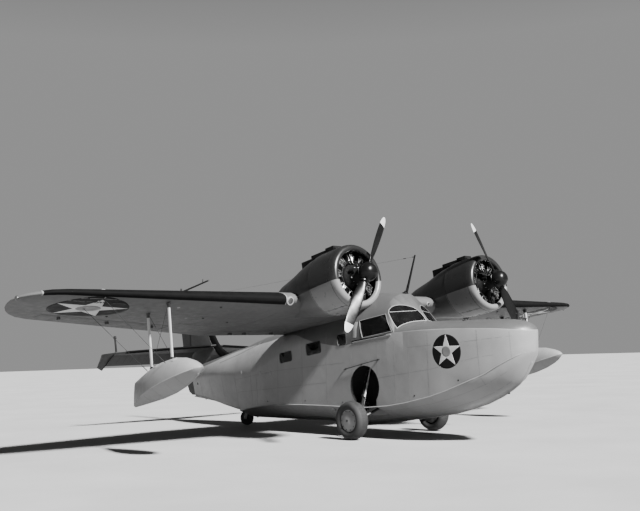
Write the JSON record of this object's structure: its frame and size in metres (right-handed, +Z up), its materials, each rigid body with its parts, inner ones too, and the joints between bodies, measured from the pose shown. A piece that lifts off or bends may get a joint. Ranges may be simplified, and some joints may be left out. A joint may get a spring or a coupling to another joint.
{
  "type": "twin-engined amphibious flying boat",
  "caption": "High-wing amphibious flying boat standing on its wheels, with radial engines on the wing, a stepped hull, wing floats and a hinged cabin door and bow hatch.",
  "frame": {"origin": "middle of the span and length, on the ground under the wheels", "axes": "+X to port along the span, -Y towards the nose, +Z up from the ground the aircraft is parked on"},
  "size_m": [14.932, 11.66, 4.277],
  "materials": {
    "hull_paint": "satin",
    "deck_paint": "satin",
    "wing_paint": "satin",
    "dark_paint": "satin",
    "black_paint": "semi-gloss",
    "engine_metal": "satin",
    "light_paint": "satin",
    "bare_metal": "satin",
    "tyre_rubber": "matte",
    "seat_leather": "matte",
    "glass": "clear"
  },
  "bodies": {
    "airframe": {"hull_bow": "hull_paint", "hull_bottom": "hull_paint", "hull_cockpit": "hull_paint", "hull_cabin": "hull_paint", "wheel_well_starboard": "hull_paint", "wheel_well_port": "hull_paint", "hull_tail": "hull_paint", "cockpit_canopy": "deck_paint", "windscreen_glass_starboard": "glass", "cockpit_side_glass_starboard": "glass", "cabin_window_rear_starboard": "glass", "cabin_window_middle_starboard": "glass", "cabin_window_front_starboard": "glass", "windscreen_glass_port": "glass", "cockpit_side_glass_port": "glass", "cabin_window_rear_port": "glass", "cabin_window_middle_port": "glass", "cabin_window_front_port": "glass", "wing_centre": "wing_paint", "wing_outer_starboard": "wing_paint", "nacelle_starboard": "dark_paint", "cowl_starboard": "dark_paint", "engine_starboard": "engine_metal", "air_scoop_starboard": "black_paint", "tailplane_starboard": "wing_paint", "float_starboard": "hull_paint", "float_struts_starboard": "light_paint", "main_gear_leg_starboard": "light_paint", "pilot_seat_starboard": "seat_leather", "wing_outer_port": "wing_paint", "nacelle_port": "dark_paint", "cowl_port": "dark_paint", "engine_port": "engine_metal", "air_scoop_port": "black_paint", "tailplane_port": "wing_paint", "float_port": "hull_paint", "float_struts_port": "light_paint", "main_gear_leg_port": "light_paint", "pilot_seat_port": "seat_leather", "fin": "wing_paint", "antenna_mast": "black_paint", "pitot_head": "bare_metal", "instrument_panel": "black_paint"},
    "propeller_starboard": {"propeller_starboard": "black_paint"},
    "propeller_port": {"propeller_port": "black_paint"},
    "main_wheel_starboard": {"main_tyre_starboard": "tyre_rubber", "main_hub_starboard": "light_paint"},
    "main_wheel_port": {"main_tyre_port": "tyre_rubber", "main_hub_port": "light_paint"},
    "tail_fork": {"tail_fork": "bare_metal"},
    "tail_wheel": {"tail_wheel": "tyre_rubber"},
    "rudder": {"rudder": "wing_paint"},
    "elevator_starboard": {"elevator_starboard": "wing_paint"},
    "elevator_port": {"elevator_port": "wing_paint"},
    "aileron_starboard": {"aileron_starboard": "wing_paint"},
    "aileron_port": {"aileron_port": "wing_paint"},
    "flap_starboard": {"flap_starboard": "wing_paint"},
    "flap_port": {"flap_port": "wing_paint"},
    "cabin_door": {"cabin_door": "hull_paint"},
    "bow_hatch": {"bow_hatch": "deck_paint"}
  },
  "joints": [
    {"name": "propeller_starboard_spin", "type": "hinge", "parent": "airframe", "child": "propeller_starboard", "pos_m": [-1.88, -3.626, 3.105], "axis": [0, -0.9873, 0.1588], "continuous": true},
    {"name": "propeller_port_spin", "type": "hinge", "parent": "airframe", "child": "propeller_port", "pos_m": [1.88, -3.626, 3.105], "axis": [0, -0.9873, 0.1588], "continuous": true},
    {"name": "main_wheel_starboard_spin", "type": "hinge", "parent": "airframe", "child": "main_wheel_starboard", "pos_m": [-1.16, -2.315, 0.37], "axis": [1, 0, 0], "continuous": true},
    {"name": "main_wheel_port_spin", "type": "hinge", "parent": "airframe", "child": "main_wheel_port", "pos_m": [1.16, -2.315, 0.37], "axis": [1, 0, 0], "continuous": true},
    {"name": "tail_fork_swivel", "type": "hinge", "parent": "airframe", "child": "tail_fork", "pos_m": [0, 2.67, 0.4], "axis": [0, 0, 1], "range_deg": [-112, 68]},
    {"name": "tail_wheel_spin", "type": "hinge", "parent": "tail_fork", "child": "tail_wheel", "pos_m": [-0.0281, 2.73954, 0.18], "axis": [0.9272, 0.3746, 0], "continuous": true},
    {"name": "rudder_hinge", "type": "hinge", "parent": "airframe", "child": "rudder", "pos_m": [0, 5.24025, 2], "axis": [0, 0.1143, 0.9935], "range_deg": [-25, 25]},
    {"name": "elevator_port_hinge", "type": "hinge", "parent": "airframe", "child": "elevator_port", "pos_m": [1, 4.865, 1.8402], "axis": [0.9997, 0, -0.0228], "range_deg": [0, 55]},
    {"name": "elevator_starboard_hinge", "type": "hinge", "parent": "airframe", "child": "elevator_starboard", "pos_m": [-1, 4.865, 1.8402], "axis": [0.9997, 0, 0.0228], "range_deg": [0, 55]},
    {"name": "aileron_port_hinge", "type": "hinge", "parent": "airframe", "child": "aileron_port", "pos_m": [3.95, -0.15404, 2.38431], "axis": [0.9891, -0.1378, 0.0518], "range_deg": [-20, 20]},
    {"name": "aileron_starboard_hinge", "type": "hinge", "parent": "airframe", "child": "aileron_starboard", "pos_m": [-3.95, -0.15404, 2.38431], "axis": [0.9891, 0.1378, -0.0518], "range_deg": [-20, 20]},
    {"name": "flap_port_hinge", "type": "hinge", "parent": "airframe", "child": "flap_port", "pos_m": [1.7, 0.14914, 2.28784], "axis": [-1, 0, 0], "range_deg": [0, 45]},
    {"name": "flap_starboard_hinge", "type": "hinge", "parent": "airframe", "child": "flap_starboard", "pos_m": [-1.7, 0.14914, 2.28784], "axis": [-1, 0, 0], "range_deg": [0, 45]},
    {"name": "cabin_door_hinge", "type": "hinge", "parent": "airframe", "child": "cabin_door", "pos_m": [0.752, 0.672, 1.3], "axis": [0, 0, -1], "range_deg": [0, 95]},
    {"name": "bow_hatch_hinge", "type": "hinge", "parent": "airframe", "child": "bow_hatch", "pos_m": [0, -4.398, 2.226], "axis": [-1, 0, 0], "range_deg": [0, 100]}
  ],
  "couplings": [
    {"joint": "elevator_starboard_hinge", "follows": "elevator_port_hinge", "ratio": 1},
    {"joint": "aileron_starboard_hinge", "follows": "aileron_port_hinge", "ratio": -1},
    {"joint": "flap_starboard_hinge", "follows": "flap_port_hinge", "ratio": 1}
  ]
}
